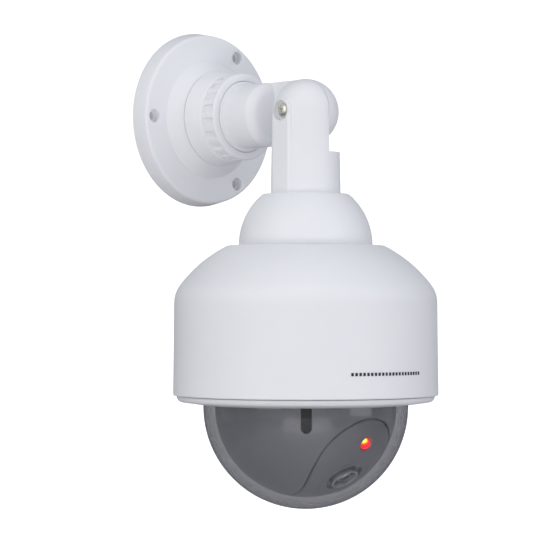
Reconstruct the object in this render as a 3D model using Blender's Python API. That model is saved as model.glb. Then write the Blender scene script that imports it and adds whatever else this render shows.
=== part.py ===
# Dome camera on a wall arm. Metres, +Z up, wall at Y = 0, the camera stands out towards -Y.
# Lengths below are in millimetres; every mesh is scaled by MM when it is made.

import bpy
import bmesh
from math import pi, radians, sin, cos, sqrt, asin, degrees, atan2
from mathutils import Matrix, Vector

MM = 0.001
GAP = 0.3                 # air between neighbouring pieces
STEPS = 48                # sides of the large round pieces
SMALL_STEPS = 20          # sides of bosses and screws

# wall plate and locking collar, heights measured out from the wall
PLATE_BACK_R = 44.2
PLATE_FRONT_R = 42.9
PLATE_THICK = 9.15
PLATE_EDGE_R = 1.6
CONE_FOOT_R = 29.7
CONE_TOP_R = 24.3
HUB_OUT = 15.9
HUB_BORE_R = 20.2
HUB_FLOOR = 4.2
HOLE_CIRCLE_R = 37.4
HOLE_ANGLES = (60.0, 180.0, 300.0)
HOLE_R = 2.3
HOLE_SINK_R = 3.35
HOLE_SINK_DEPTH = 3.4
COLLAR_FRONT = 35.6
COLLAR_BACK_R = 24.1
COLLAR_GRIP_R = 21.7
COLLAR_BORE_R = 18.1
GRIP_NOTCHES = 20
GRIP_FROM = 27.0
GRIP_TO = 34.4
GRIP_DEPTH = 1.2
GRIP_WIDTH = 3.9

# arm and knuckle
PIVOT_OUT = 78.6          # pivot centre, out from the wall
ARM_R = 15.8
ARM_ROOT_R = 17.7
ARM_ROOT_END = 36.2
ARM_NEAR_END = 55.6
ARM_END_ROUND = 5.0
ARM_CORE_R = 12.4
KNUCKLE_R = 16.2
PIVOT_HOLE_R = 1.9
WASHER_R = 7.6
WASHER_HALF = 0.75
NUT_BOSS_R = 6.0
NUT_BOSS_OUT = 17.2

# head, heights measured from the pivot
STEP_Z = -19.8
CAP_TOP_Z = -40.1
CAP_R = 32.7
CAP_BASE_Z = -65.0
RIB_HALF = 6.0
RIB_FACE = 17.4
SCREW_SINK_R = 5.0
SCREW_SINK_FLOOR = 14.6
HOUSING_TOP_Z = -65.3
HOUSING_FLAT_R = 38.0
SHOULDER_R = 66.1
SHOULDER_SLOPE = 27.0
SHOULDER_ROUND = 15.0
HOUSING_R = 64.25
LIP_R = 64.75
LIP_Z = -138.3
HUB_HOLE_R = 8.0
NECK_SCREW_CIRCLE = 22.0
POST_CIRCLE = 51.0
POST_ANGLES = (30.0, 150.0, 270.0)
POST_R = 4.0
PILOT_R = 1.6             # holes for the self-tapping screws
WALL = 2.4
DOME_Z = -143.76
DOME_R = 50.0
DOME_WALL = 2.0
RING_R = 62.95
RING_TOP_Z = LIP_Z - GAP
RING_BOTTOM_Z = -142.75
RING_ROUND = 2.6
SPIGOT_R = 58.9
SPIGOT_INNER_R = 55.9
SPIGOT_TOP_Z = -131.3
LUG_ANGLES = (90.0, 210.0, 330.0)
CHASSIS_R = 60.5
CHASSIS_TOP_Z = -128.0
CHASSIS_THICK = 2.5
CHASSIS_UNDER_Z = CHASSIS_TOP_Z - CHASSIS_THICK
LINER_SCREW_X = 39.6
WIRE_HOLE_Y = -23.0
LINER_R = 44.3
LINER_WALL = 2.0
BALL_TOP = CHASSIS_UNDER_Z - GAP - DOME_Z   # top of the ball, above its centre
SLOT_ANGLES = (44.0, 136.0, 224.0, 316.0)   # from the front of the ball
SLOT_HALF = 2.6
SLOT_DROP = 11.2                            # lowest point of a slot under the ball's equator
PANEL_TILT = 48.0
LED_TILT = 22.5
LENS_TILT = 52.0
LED_R = 2.5
LED_TIP = 45.2
LED_LENGTH = 8.6
LENS_R = 6.9
PANEL_GAP = 0.2           # each side of the groove round the panel
BOARD_OUT = 30.0          # circuit board, out from the ball's centre along the lamp's axis
BOARD_THICK = 1.6
PEG_FROM = BOARD_OUT + BOARD_THICK + GAP
CELL_R = 7.1
CELL_LEN = 50.5


# ---------- materials ----------

def finish(name, colour, roughness, metallic=0.0, alpha=1.0):
    material = bpy.data.materials.new(name)
    material.use_nodes = True
    shader = material.node_tree.nodes["Principled BSDF"]
    shader.inputs["Base Color"].default_value = (*colour, 1.0)
    shader.inputs["Roughness"].default_value = roughness
    shader.inputs["Metallic"].default_value = metallic
    shader.inputs["Alpha"].default_value = alpha
    return material


# ---------- shapes ----------

def arc(centre_r, centre_z, radius, start, end, count):
    """Points along an arc in the (radius, height) plane, angles in degrees."""
    points = []
    for i in range(count + 1):
        angle = radians(start + (end - start) * i / count)
        points.append((centre_r + radius * cos(angle), centre_z + radius * sin(angle)))
    return points


def turned(profile, steps=STEPS):
    """A closed (radius, height) outline turned about Z."""
    bm = bmesh.new()
    verts = [bm.verts.new((r, 0.0, z)) for r, z in profile]
    edges = []
    for a, b in zip(verts, verts[1:] + verts[:1]):
        if abs(a.co.x) > 1e-9 or abs(b.co.x) > 1e-9:
            edges.append(bm.edges.new((a, b)))
    bmesh.ops.spin(bm, geom=verts + edges, cent=(0, 0, 0), axis=(0, 0, 1),
                   angle=2 * pi, steps=steps, use_merge=True)
    bmesh.ops.remove_doubles(bm, verts=bm.verts, dist=1e-5)
    bmesh.ops.recalc_face_normals(bm, faces=bm.faces)
    return bm


def block(low, high):
    """A box between two corners."""
    low, high = Vector(low), Vector(high)
    bm = bmesh.new()
    size = high - low
    matrix = Matrix.Translation((low + high) / 2) @ Matrix.Diagonal((*size, 1.0))
    bmesh.ops.create_cube(bm, size=1.0, matrix=matrix)
    return bm


def rod(start, end, radius, steps=SMALL_STEPS, end_radius=None):
    """A round bar or cone between two points."""
    start, end = Vector(start), Vector(end)
    run = end - start
    matrix = Matrix.Translation((start + end) / 2) @ run.to_track_quat("Z", "Y").to_matrix().to_4x4()
    bm = bmesh.new()
    bmesh.ops.create_cone(bm, cap_ends=True, segments=steps, radius1=radius,
                          radius2=radius if end_radius is None else end_radius,
                          depth=run.length, matrix=matrix)
    return bm


def prism(outline, low, high):
    """A flat outline in XY extruded from one height to another."""
    bm = bmesh.new()
    face = bm.faces.new([bm.verts.new((x, y, low)) for x, y in outline])
    result = bmesh.ops.extrude_face_region(bm, geom=[face])
    lifted = [v for v in result["geom"] if isinstance(v, bmesh.types.BMVert)]
    bmesh.ops.translate(bm, verts=lifted, vec=(0, 0, high - low))
    bmesh.ops.recalc_face_normals(bm, faces=bm.faces)
    return bm


def ring_block(inner, outer, middle, half_angle, low, high, count=4):
    """A piece of a ring, such as a bayonet lug."""
    angles = [radians(middle - half_angle + 2 * half_angle * i / count) for i in range(count + 1)]
    outline = [(outer * cos(a), outer * sin(a)) for a in angles]
    outline += [(inner * cos(a), inner * sin(a)) for a in reversed(angles)]
    return prism(outline, low, high)


def merged(*meshes):
    """Several separate shapes in one mesh, for a cutter."""
    whole = bmesh.new()
    for bm in meshes:
        scratch = bpy.data.meshes.new("scratch")
        bm.to_mesh(scratch)
        bm.free()
        whole.from_mesh(scratch)
        bpy.data.meshes.remove(scratch)
    return whole


def on_circle(radius, angle):
    return (radius * cos(radians(angle)), radius * sin(radians(angle)))


# ---------- objects ----------

def make(name, bm, parent, material=None, sharp=35.0):
    """Put a bmesh drawn in millimetres into the scene as one named object."""
    bmesh.ops.scale(bm, vec=(MM, MM, MM), verts=bm.verts)
    mesh = bpy.data.meshes.new(name)
    bm.to_mesh(mesh)
    bm.free()
    mesh.shade_smooth()
    mesh.set_sharp_from_angle(angle=radians(sharp))
    obj = bpy.data.objects.new(name, mesh)
    bpy.context.collection.objects.link(obj)
    obj.parent = parent
    if material:
        mesh.materials.append(material)
    return obj


def shape_with(obj, bm, operation):
    """Add a hidden tool body and a Boolean that uses it."""
    tool = make(obj.name + "_tool", bm, obj.parent)
    tool.hide_render = True
    tool.display_type = "WIRE"
    modifier = obj.modifiers.new(operation.lower(), "BOOLEAN")
    modifier.operation = operation
    modifier.object = tool
    modifier.solver = "EXACT"


def cut(obj, *meshes):
    for bm in meshes:
        shape_with(obj, bm, "DIFFERENCE")


def add(obj, *meshes):
    for bm in meshes:
        shape_with(obj, bm, "UNION")


def empty(name, parent=None, location=(0, 0, 0), rotation=(0, 0, 0)):
    obj = bpy.data.objects.new(name, None)
    bpy.context.collection.objects.link(obj)
    obj.parent = parent
    obj.location = Vector(location) * MM
    obj.rotation_euler = rotation
    return obj


# ---------- wall side ----------

def wall_plate(frame):
    pocket_in, pocket_out, pocket_deep = 26.2, 41.2, 6.4
    profile = [(0, 0), (pocket_in, 0), (pocket_in, pocket_deep), (pocket_out, pocket_deep),
               (pocket_out, 0), (PLATE_BACK_R, 0)]
    profile += arc(PLATE_FRONT_R - PLATE_EDGE_R, PLATE_THICK - PLATE_EDGE_R, PLATE_EDGE_R, 0, 90, 4)
    profile += [(CONE_FOOT_R, PLATE_THICK), (CONE_TOP_R, HUB_OUT), (HUB_BORE_R, HUB_OUT),
                (HUB_BORE_R, HUB_FLOOR), (0, HUB_FLOOR)]
    plate = make("wall_plate", turned(profile), frame, WHITE)
    rib_half, boss_r, root = 0.8, 5.2, 0.6
    for angle in HOLE_ANGLES:
        x, y = on_circle(HOLE_CIRCLE_R, angle)
        add(plate, rod((x, y, 0.4), (x, y, pocket_deep + root), boss_r))
        rib = block((pocket_in - root, -rib_half, 0.5), (pocket_out + root, rib_half, pocket_deep + root))
        turn = Matrix.Rotation(radians(angle + 60), 3, "Z")
        bmesh.ops.rotate(rib, verts=rib.verts, cent=(0, 0, 0), matrix=turn)
        add(plate, rib)
    for angle in HOLE_ANGLES:
        x, y = on_circle(HOLE_CIRCLE_R, angle)
        cut(plate, rod((x, y, -1), (x, y, PLATE_THICK + 1), HOLE_R))
        cut(plate, rod((x, y, PLATE_THICK - HOLE_SINK_DEPTH), (x, y, PLATE_THICK + 1), HOLE_SINK_R))


def lock_collar(frame):
    spigot_r, spigot_end, taper_end = HUB_BORE_R - 0.4, 9.0, 25.6
    profile = [(COLLAR_BORE_R, spigot_end), (spigot_r, spigot_end), (spigot_r, HUB_OUT + GAP),
               (COLLAR_BACK_R, HUB_OUT + GAP), (22.4, taper_end), (COLLAR_GRIP_R, taper_end + 0.7),
               (COLLAR_GRIP_R, COLLAR_FRONT - 0.8), (COLLAR_GRIP_R - 0.8, COLLAR_FRONT),
               (COLLAR_BORE_R, COLLAR_FRONT)]
    collar = make("lock_collar", turned(profile, 60), frame, WHITE)
    notches = []
    for i in range(GRIP_NOTCHES):
        notch = block((COLLAR_GRIP_R - GRIP_DEPTH, -GRIP_WIDTH / 2, GRIP_FROM),
                      (COLLAR_GRIP_R + 2, GRIP_WIDTH / 2, GRIP_TO))
        turn = Matrix.Rotation(2 * pi * (i + 0.5) / GRIP_NOTCHES, 3, "Z")
        bmesh.ops.rotate(notch, verts=notch.verts, cent=(0, 0, 0), matrix=turn)
        notches.append(notch)
    cut(collar, merged(*notches))


def swivel_arm(frame):
    flange_r, flange_from, flange_to, core_end = HUB_BORE_R - 0.6, HUB_FLOOR + 0.4, 8.6, 46.0
    profile = [(ARM_CORE_R, flange_from), (flange_r, flange_from), (flange_r, flange_to),
               (ARM_ROOT_R, flange_to), (ARM_ROOT_R, ARM_ROOT_END - 0.6), (ARM_ROOT_R - 0.6, ARM_ROOT_END),
               (ARM_R, ARM_ROOT_END)]
    profile += arc(0, PIVOT_OUT, KNUCKLE_R, 0, 90, 7)
    profile += [(0, core_end), (ARM_CORE_R, core_end)]
    arm = make("swivel_arm", turned(profile, 40), frame, WHITE)

    # one half of the barrel is cut off short, with a rounded end; the other half goes on to the pivot
    far, clear = 30.0, 0.4
    waste_profile = [(0, ARM_NEAR_END)] + arc(ARM_R - ARM_END_ROUND, ARM_NEAR_END - ARM_END_ROUND,
                                              ARM_END_ROUND + clear, 90, 0, 4)[1:]
    waste_profile += [(far, ARM_NEAR_END - ARM_END_ROUND), (far, PIVOT_OUT + far), (0, PIVOT_OUT + far)]
    waste = turned(waste_profile, 40)
    geom = waste.verts[:] + waste.edges[:] + waste.faces[:]
    sliced = bmesh.ops.bisect_plane(waste, geom=geom, dist=1e-4, plane_co=(GAP / 2, 0, 0),
                                    plane_no=(1, 0, 0), clear_outer=True)
    rim = [e for e in sliced["geom_cut"] if isinstance(e, bmesh.types.BMEdge)]
    bmesh.ops.contextual_create(waste, geom=rim)
    bmesh.ops.recalc_face_normals(waste, faces=waste.faces)
    cut(arm, waste)
    add(arm, rod((8, 0, PIVOT_OUT), (NUT_BOSS_OUT, 0, PIVOT_OUT), NUT_BOSS_R))
    washer_room = WASHER_HALF + GAP
    cut(arm, rod((-1, 0, PIVOT_OUT), (washer_room, 0, PIVOT_OUT), WASHER_R + GAP))
    cut(arm, rod((-1, 0, PIVOT_OUT), (20, 0, PIVOT_OUT), PIVOT_HOLE_R))
    cut(arm, rod((12.7, 0, PIVOT_OUT), (20, 0, PIVOT_OUT), 4.0, 6))


def pivot_hardware(frame):
    """Screw, nut and washer on the pivot axis, drawn with X along the screw."""
    head_from, head_top, head_r, shaft_r, tip = -(SCREW_SINK_FLOOR + GAP), -16.9, 3.5, 1.55, 16.4
    dome = [(0, -head_top), (1.6, -head_top), (2.8, -head_top - 0.5), (head_r, -head_top - 1.4),
            (head_r, -head_from), (shaft_r, -head_from), (shaft_r, -tip), (0, -tip)]
    bm = turned(dome, SMALL_STEPS)
    bmesh.ops.rotate(bm, verts=bm.verts, cent=(0, 0, 0), matrix=Matrix.Rotation(-pi / 2, 3, "Y"))
    bmesh.ops.translate(bm, verts=bm.verts, vec=(0, 0, PIVOT_OUT))
    screw = make("pivot_screw", bm, frame, STEEL)
    slot_half, slot_long, slot_deep = 0.45, 2.0, 1.3
    for y, z in ((slot_half, slot_long), (slot_long, slot_half)):
        cut(screw, block((head_top - 1, -y, PIVOT_OUT - z), (head_top + slot_deep, y, PIVOT_OUT + z)))

    nut_from, nut_to, nut_r = 13.0, 15.6, 3.6
    nut = make("pivot_nut", rod((nut_from, 0, PIVOT_OUT), (nut_to, 0, PIVOT_OUT), nut_r, 6), frame, STEEL)
    cut(nut, rod((nut_from - 1, 0, PIVOT_OUT), (nut_to + 1, 0, PIVOT_OUT), PIVOT_HOLE_R))

    disc = rod((-WASHER_HALF, 0, PIVOT_OUT), (WASHER_HALF, 0, PIVOT_OUT), WASHER_R, 32)
    washer = make("friction_washer", disc, frame, NYLON)
    cut(washer, rod((-2, 0, PIVOT_OUT), (2, 0, PIVOT_OUT), PIVOT_HOLE_R))


# ---------- head: neck and housing ----------

def neck(frame):
    inner_r, stem_inner, stem_roof = CAP_R - 2.5, 13.6, -27.0
    cap_round = 0.8
    cap_start = degrees(asin((CAP_TOP_Z - cap_round - CAP_BASE_Z) / CAP_R))
    roof_z = -43.2
    roof_start = degrees(asin((roof_z - CAP_BASE_Z) / inner_r))
    profile = arc(0, 0, KNUCKLE_R, 90, 0, 7)
    profile += [(16.7, STEP_Z), (17.1, CAP_TOP_Z), (20.6, CAP_TOP_Z)]
    profile += arc(0, CAP_BASE_Z, CAP_R, cap_start, 0, 6)
    profile += arc(0, CAP_BASE_Z, inner_r, 0, roof_start, 3)
    profile += [(stem_inner, roof_z), (stem_inner, stem_roof), (0, stem_roof)]
    obj = make("neck", turned(profile, 40), frame, WHITE)

    # raised rib with a round top, drawn flat and stood up to face -X
    outline = [(-RIB_HALF, CAP_TOP_Z - 1.0), (RIB_HALF, CAP_TOP_Z - 1.0)] + arc(0, 0, RIB_HALF, 0, 180, 12)
    rib = prism(outline, 9.0, RIB_FACE)
    stand = Matrix(((0, 0, -1), (-1, 0, 0), (0, 1, 0)))
    bmesh.ops.rotate(rib, verts=rib.verts, cent=(0, 0, 0), matrix=stand)
    add(obj, rib)
    for angle in LUG_ANGLES:
        x, y = on_circle(NECK_SCREW_CIRCLE, angle)
        add(obj, rod((x, y, CAP_BASE_Z), (x, y, -47.0), 3.8, 12))
    far = 30.0
    cut(obj, block((-GAP / 2, -far, STEP_Z), (far, far, far)))
    cut(obj, rod((-WASHER_HALF - GAP, 0, 0), (1, 0, 0), WASHER_R + GAP))
    cut(obj, rod((-far, 0, 0), (1, 0, 0), PIVOT_HOLE_R))
    cut(obj, rod((-far, 0, 0), (-SCREW_SINK_FLOOR, 0, 0), SCREW_SINK_R, 32))
    for angle in LUG_ANGLES:
        x, y = on_circle(NECK_SCREW_CIRCLE, angle)
        cut(obj, rod((x, y, CAP_BASE_Z - 1), (x, y, -52.0), PILOT_R, 12))


def shoulder(inset):
    """The rounded shoulder from the flat top to the side wall, moved in by a wall thickness."""
    slope = radians(SHOULDER_SLOPE)
    start_r, start_z = HOUSING_FLAT_R + 0.6, HOUSING_TOP_Z - 0.2
    big_r = start_r - SHOULDER_R * sin(slope)
    big_z = start_z - SHOULDER_R * cos(slope)
    small_r = HOUSING_R - SHOULDER_ROUND
    small_z = big_z + sqrt((SHOULDER_R - SHOULDER_ROUND) ** 2 - (small_r - big_r) ** 2)
    meet = degrees(atan2(small_z - big_z, small_r - big_r))
    points = arc(big_r, big_z, SHOULDER_R - inset, 90 - SHOULDER_SLOPE, meet, 4)
    return points[:-1] + arc(small_r, small_z, SHOULDER_ROUND - inset, meet, 0, 3)


def housing(frame):
    profile = [(HUB_HOLE_R, HOUSING_TOP_Z), (HOUSING_FLAT_R, HOUSING_TOP_Z)] + shoulder(0.0)
    profile += [(LIP_R, LIP_Z), (LIP_R - WALL, LIP_Z)] + shoulder(WALL)[::-1]
    profile += [(HOUSING_FLAT_R - 0.6, HOUSING_TOP_Z - WALL), (HUB_HOLE_R, HOUSING_TOP_Z - WALL)]
    shell = make("housing", turned(profile), frame, WHITE)
    inner_r = LIP_R - WALL
    for angle in POST_ANGLES:
        x, y = on_circle(POST_CIRCLE, angle)
        add(shell, rod((x, y, CHASSIS_TOP_Z + GAP), (x, y, -78.2), POST_R, 12))
    ledges = [ring_block(59.6, inner_r + 0.6, angle, 11, -137.0, -134.7) for angle in LUG_ANGLES]
    stops = [ring_block(59.6, inner_r + 0.6, angle - 13, 1.6, -135.0, -131.0) for angle in LUG_ANGLES]
    add(shell, *ledges, *stops)
    for angle in POST_ANGLES:
        x, y = on_circle(POST_CIRCLE, angle)
        cut(shell, rod((x, y, CHASSIS_TOP_Z - 1), (x, y, -115.0), PILOT_R, 12))
    for angle in LUG_ANGLES:
        x, y = on_circle(NECK_SCREW_CIRCLE, angle)
        cut(shell, rod((x, y, HOUSING_TOP_Z - WALL - 1), (x, y, HOUSING_TOP_Z + 1), PILOT_R, 12))


def small_screw(name, frame, place, under_head, length, up=1):
    """A self-tapping screw; its head is on the far side of under_head from its shaft."""
    x, y = place
    head_r, head_high, shaft_r, overlap = 3.0, 1.8, 1.25, 0.4
    head = rod((x, y, under_head), (x, y, under_head - up * head_high), head_r, 12, 2.2)
    screw = make(name, head, frame, STEEL)
    add(screw, rod((x, y, under_head - up * overlap), (x, y, under_head + up * length), shaft_r, 8))
    cut(screw, block((x - 1.6, y - 0.35, under_head - up * head_high - 0.7),
                     (x + 1.6, y + 0.35, under_head - up * head_high + 0.7)))


# ---------- dome ring ----------

def retaining_ring(frame):
    ledge_z = -140.2
    profile = [(SPIGOT_INNER_R, SPIGOT_TOP_Z), (SPIGOT_R, SPIGOT_TOP_Z), (SPIGOT_R, RING_TOP_Z),
               (RING_R, RING_TOP_Z)]
    profile += arc(RING_R - RING_ROUND, RING_TOP_Z - 0.2, RING_ROUND, 0, -82, 4)
    profile += [(DOME_R + 0.8, RING_BOTTOM_Z), (DOME_R + GAP, RING_BOTTOM_Z + 0.4), (DOME_R + GAP, ledge_z),
                (SPIGOT_INNER_R, ledge_z)]
    ring = make("retaining_ring", turned(profile), frame, WHITE)
    lugs = [ring_block(SPIGOT_R - 0.6, 61.4, angle, 10, -134.3, -131.8) for angle in LUG_ANGLES]
    snaps = [ring_block(54.7, SPIGOT_INNER_R + 0.6, angle + 60, 6, -136.7, -135.2, 2) for angle in LUG_ANGLES]
    add(ring, *lugs, *snaps)
    seal_profile = [(51.0, ledge_z + GAP), (55.4, ledge_z + GAP), (55.4, -138.9), (51.0, -138.9)]
    make("seal_ring", turned(seal_profile, 40), frame, RUBBER)


def dome_cover(frame):
    flange_r, flange_low, top = 55.4, -138.6, -137.0
    inner_r = DOME_R - DOME_WALL
    profile = [(flange_r, top), (flange_r, flange_low), (DOME_R, flange_low)]
    profile += arc(0, DOME_Z, DOME_R, 0, -90, 9)
    profile += arc(0, DOME_Z, inner_r, -90, 0, 7)
    profile += [(inner_r, top)]
    make("dome_cover", turned(profile), frame, SMOKE)


# ---------- camera ball ----------

def panel_outline(grow):
    """Egg-shaped outline in the plane square to the panel's middle, wide end up."""
    wide, rise, middle, foot_half, foot = 22.0 + grow, 22.5 + grow, 7.0, 12.0 + grow, -36.0 - grow
    points = [(wide * cos(radians(a)), middle + rise * sin(radians(a))) for a in range(0, 181, 15)]
    side = []
    steps = 5
    for i in range(1, steps + 1):
        t = i / steps
        side.append((foot_half + (wide - foot_half) * (1 + cos(pi * t)) / 2, middle + (foot - middle) * t))
    return points + [(-x, y) for x, y in side] + side[::-1]


def liner_ball():
    """Half ball with a straight collar, closed as a shell."""
    inner = LINER_R - LINER_WALL
    top, flange_low, flange_r = BALL_TOP, 11.2, 47.2
    profile = [(inner, top), (flange_r, top), (flange_r, flange_low), (LINER_R, flange_low)]
    profile += arc(0, 0, LINER_R, 0, -90, 9) + arc(0, 0, inner, -90, 0, 7)
    return turned(profile)


def liner(ball, tilted):
    obj = make("liner", liner_ball(), ball, BALL_GREY)
    for side in (-1, 1):
        x = side * LINER_SCREW_X
        add(obj, rod((x, 0, 1.0), (x, 0, BALL_TOP - 0.05), 3.6, 16))
    for angle in SLOT_ANGLES:
        low, high = -SLOT_DROP + SLOT_HALF, 7.0
        outline = arc(0, low, SLOT_HALF, 180, 360, 8) + arc(0, high, SLOT_HALF, 0, 180, 8)
        slot = prism(outline, 30.0, 50.0)
        # turn the flat slot to look out sideways at its angle round from the front (-Y)
        for turn in (Matrix.Rotation(pi / 2, 3, "X"), Matrix.Rotation(radians(angle), 3, "Z")):
            bmesh.ops.rotate(slot, verts=slot.verts, cent=(0, 0, 0), matrix=turn)
        cut(obj, slot)
    opening = prism(panel_outline(PANEL_GAP), 5.0, 60.0)
    opening.transform(tilted)
    cut(obj, opening)
    for side in (-1, 1):
        x = side * LINER_SCREW_X
        cut(obj, rod((x, 0, 3.0), (x, 0, 20.0), PILOT_R, 12))


def slot_baffles(ball):
    """Black strips behind the slots, hung from the chassis plate, that keep light out of the ball."""
    inner, outer, half_angle, low = 39.1, 39.7, 7.0, -12.4
    for number, angle in enumerate(SLOT_ANGLES, 1):
        strip = ring_block(inner, outer, angle - 90.0, half_angle, low, BALL_TOP, 3)
        make("slot_baffle_%d" % number, strip, ball, DARK_PLASTIC)


def camera_panel(ball, tilted, led_turn, lens_turn):
    obj = make("camera_panel", liner_ball(), ball, BALL_GREY)
    inside = prism(panel_outline(-PANEL_GAP), 5.0, 60.0)
    inside.transform(tilted)
    shape_with(obj, inside, "INTERSECT")
    backing = rod((0, 0, 35.5), (0, 0, 42.4), 13.6, 32)
    backing.transform(lens_turn)
    add(obj, backing)
    for side in (-1, 1):
        peg = rod((side * 9.0, -2.0, PEG_FROM), (side * 9.0, -2.0, 42.0), 1.8, 12)
        peg.transform(led_turn)
        add(obj, peg)
    dish_r, dish_floor = 60.0, 41.2
    dish = bmesh.new()
    bmesh.ops.create_uvsphere(dish, u_segments=48, v_segments=48, radius=dish_r,
                              matrix=Matrix.Translation((0, 0, dish_floor + dish_r)))
    dish.transform(lens_turn)
    lens_hole = rod((0, 0, 30), (0, 0, 50), LENS_R + GAP, 32)
    lens_hole.transform(lens_turn)
    led_hole = rod((0, 0, 38), (0, 0, 50), LED_R + GAP)
    led_hole.transform(led_turn)
    cut(obj, dish, lens_hole, led_hole)


def led(axis):
    foot, flange_r, flange_thick, lead_half_pitch, lead_r = LED_TIP - LED_LENGTH, 2.9, 1.0, 1.27, 0.3
    profile = [(0, foot), (flange_r, foot), (flange_r, foot + flange_thick), (LED_R, foot + flange_thick)]
    profile += arc(0, LED_TIP - LED_R, LED_R, 0, 90, 4)
    obj = make("led", turned(profile, SMALL_STEPS), axis, RED)
    for side in (-1, 1):
        x = side * lead_half_pitch
        add(obj, rod((x, 0, PEG_FROM), (x, 0, foot + 0.4), lead_r, 8))


def lens(axis):
    tube_r, back, front = 5.5, 30.0, 43.4
    profile = [(tube_r, back), (LENS_R, back), (LENS_R, front - 0.7), (LENS_R - 0.5, front),
               (tube_r + 0.4, front), (tube_r, front - 0.5)]
    make("lens_barrel", turned(profile, 28), axis, DARK_PLASTIC)
    glass_r, dome_r = tube_r - GAP, 9.0
    rise = degrees(asin(glass_r / dome_r))
    centre = 43.0 - dome_r
    glass = [(0, 38.0), (glass_r, 38.0)] + arc(0, centre, dome_r, 90 - rise, 90, 3)
    make("lens_glass", turned(glass, 28), axis, GLASS)


def circuit(axis):
    front = BOARD_OUT + BOARD_THICK
    board = make("circuit_board", block((-13, -6, BOARD_OUT), (13, 12, front)), axis, BOARD_GREEN)
    cut(board, block((-0.6, 6.5, BOARD_OUT - 1), (0.6, 13, front + 1)))
    back = BOARD_OUT - GAP
    make("flasher_chip", block((-8.0, 2.0, back - 1.8), (-2.0, 7.0, back)), axis, DARK_PLASTIC)
    make("capacitor", rod((7.0, 5.0, back), (7.0, 5.0, back - 5.9), 2.5, 16), axis, DARK_PLASTIC)


# ---------- chassis, cells, switch ----------

def chassis_plate(frame):
    low, wire_hole_r = CHASSIS_UNDER_Z, 4.0
    disc = make("chassis_plate", rod((0, 0, low), (0, 0, CHASSIS_TOP_Z), CHASSIS_R, STEPS), frame, BALL_GREY)
    holes = [rod((0, WIRE_HOLE_Y, low - 1), (0, WIRE_HOLE_Y, CHASSIS_TOP_Z + 1), wire_hole_r, 16)]
    places = [on_circle(POST_CIRCLE, angle) for angle in POST_ANGLES]
    places += [(-LINER_SCREW_X, 0), (LINER_SCREW_X, 0)]
    for x, y in places:
        holes.append(rod((x, y, low - 1), (x, y, CHASSIS_TOP_Z + 1), PILOT_R, 12))
    cut(disc, merged(*holes))


def battery_box(frame):
    low, high, long_half, wide_half, wall = CHASSIS_TOP_Z + GAP, -110.5, 31.0, 17.0, 1.6
    outside = block((-long_half, -wide_half, low), (long_half, wide_half, high))
    room_x, room_y = long_half - wall, wide_half - wall
    room = block((-room_x, -room_y, low + wall), (room_x, room_y, high + 5))
    box = make("battery_box", outside, frame, DARK_PLASTIC)
    cut(box, room)
    lid_low, inner, outer = high + GAP, wide_half + GAP, wide_half + 1.4
    lid = block((-long_half, -outer, lid_low), (long_half, outer, lid_low + 1.5))
    door = make("battery_door", lid, frame, DARK_PLASTIC)
    for side in (-1, 1):
        y_low, y_high = sorted((side * inner, side * outer))
        add(door, block((-long_half, y_low, lid_low - 3.0), (long_half, y_high, lid_low + 0.5)))

    cell_z = low + wall + GAP + CELL_R
    for number, side in ((1, -1), (2, 1)):
        y = side * 7.6
        half, tip_r, tip_high, rim = CELL_LEN / 2, 2.6, 1.2, 0.5
        profile = [(0, -half), (CELL_R - rim, -half), (CELL_R, -half + rim), (CELL_R, half - tip_high - rim),
                   (CELL_R - rim, half - tip_high), (tip_r, half - tip_high), (tip_r, half), (0, half)]
        cell = turned(profile, SMALL_STEPS)
        turn = Matrix.Rotation(side * pi / 2, 4, "Y")
        cell.transform(Matrix.Translation((0, y, cell_z)) @ turn)
        make("battery_%d" % number, cell, frame, CELL_BODY)
        plate_x = side * (long_half - wall - GAP)
        x_low, x_high = sorted((plate_x, plate_x - side * 0.5))
        contact = block((x_low, y - 4, cell_z - 4), (x_high, y + 4, cell_z + 4))
        make("contact_plate_%d" % number, contact, frame, STEEL)
        spring(frame, "spring_contact_%d" % number, -side, y, cell_z, long_half - wall - GAP)


def spring(frame, name, side, y, z, far):
    """A conical coil between the box's end wall and the flat end of a cell."""
    turns, per_turn, wire = 3, 9, 0.4
    near = CELL_LEN / 2 + GAP + wire
    curve = bpy.data.curves.new(name, "CURVE")
    curve.dimensions = "3D"
    curve.bevel_depth = wire * MM
    curve.bevel_resolution = 0
    curve.use_fill_caps = True
    line = curve.splines.new("POLY")
    count = turns * per_turn
    line.points.add(count)
    for i in range(count + 1):
        t = i / count
        angle, radius = 2 * pi * turns * t, 4.2 - 2.0 * t
        x = far - wire + (near - far + wire) * t
        line.points[i].co = (side * x * MM, (y + radius * cos(angle)) * MM, (z + radius * sin(angle)) * MM, 1)
    obj = bpy.data.objects.new(name, curve)
    bpy.context.collection.objects.link(obj)
    obj.parent = frame
    curve.materials.append(STEEL)


def slide_switch(frame):
    top = CHASSIS_UNDER_Z - GAP
    low, near, far, half = top - 3.8, 48.4, 53.2, 6.5
    body = make("switch_body", block((-half, near, low), (half, far, top)), frame, STEEL)
    middle = (near + far) / 2
    cut(body, block((-3.5, middle - 1.4, low - 1), (3.5, middle + 1.4, low + 2.0)))
    slider = block((-3.1, middle - 1.1, low - 1.3), (0.1, middle + 1.1, low + 1.6))
    make("switch_slider", slider, frame, DARK_PLASTIC)


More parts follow.
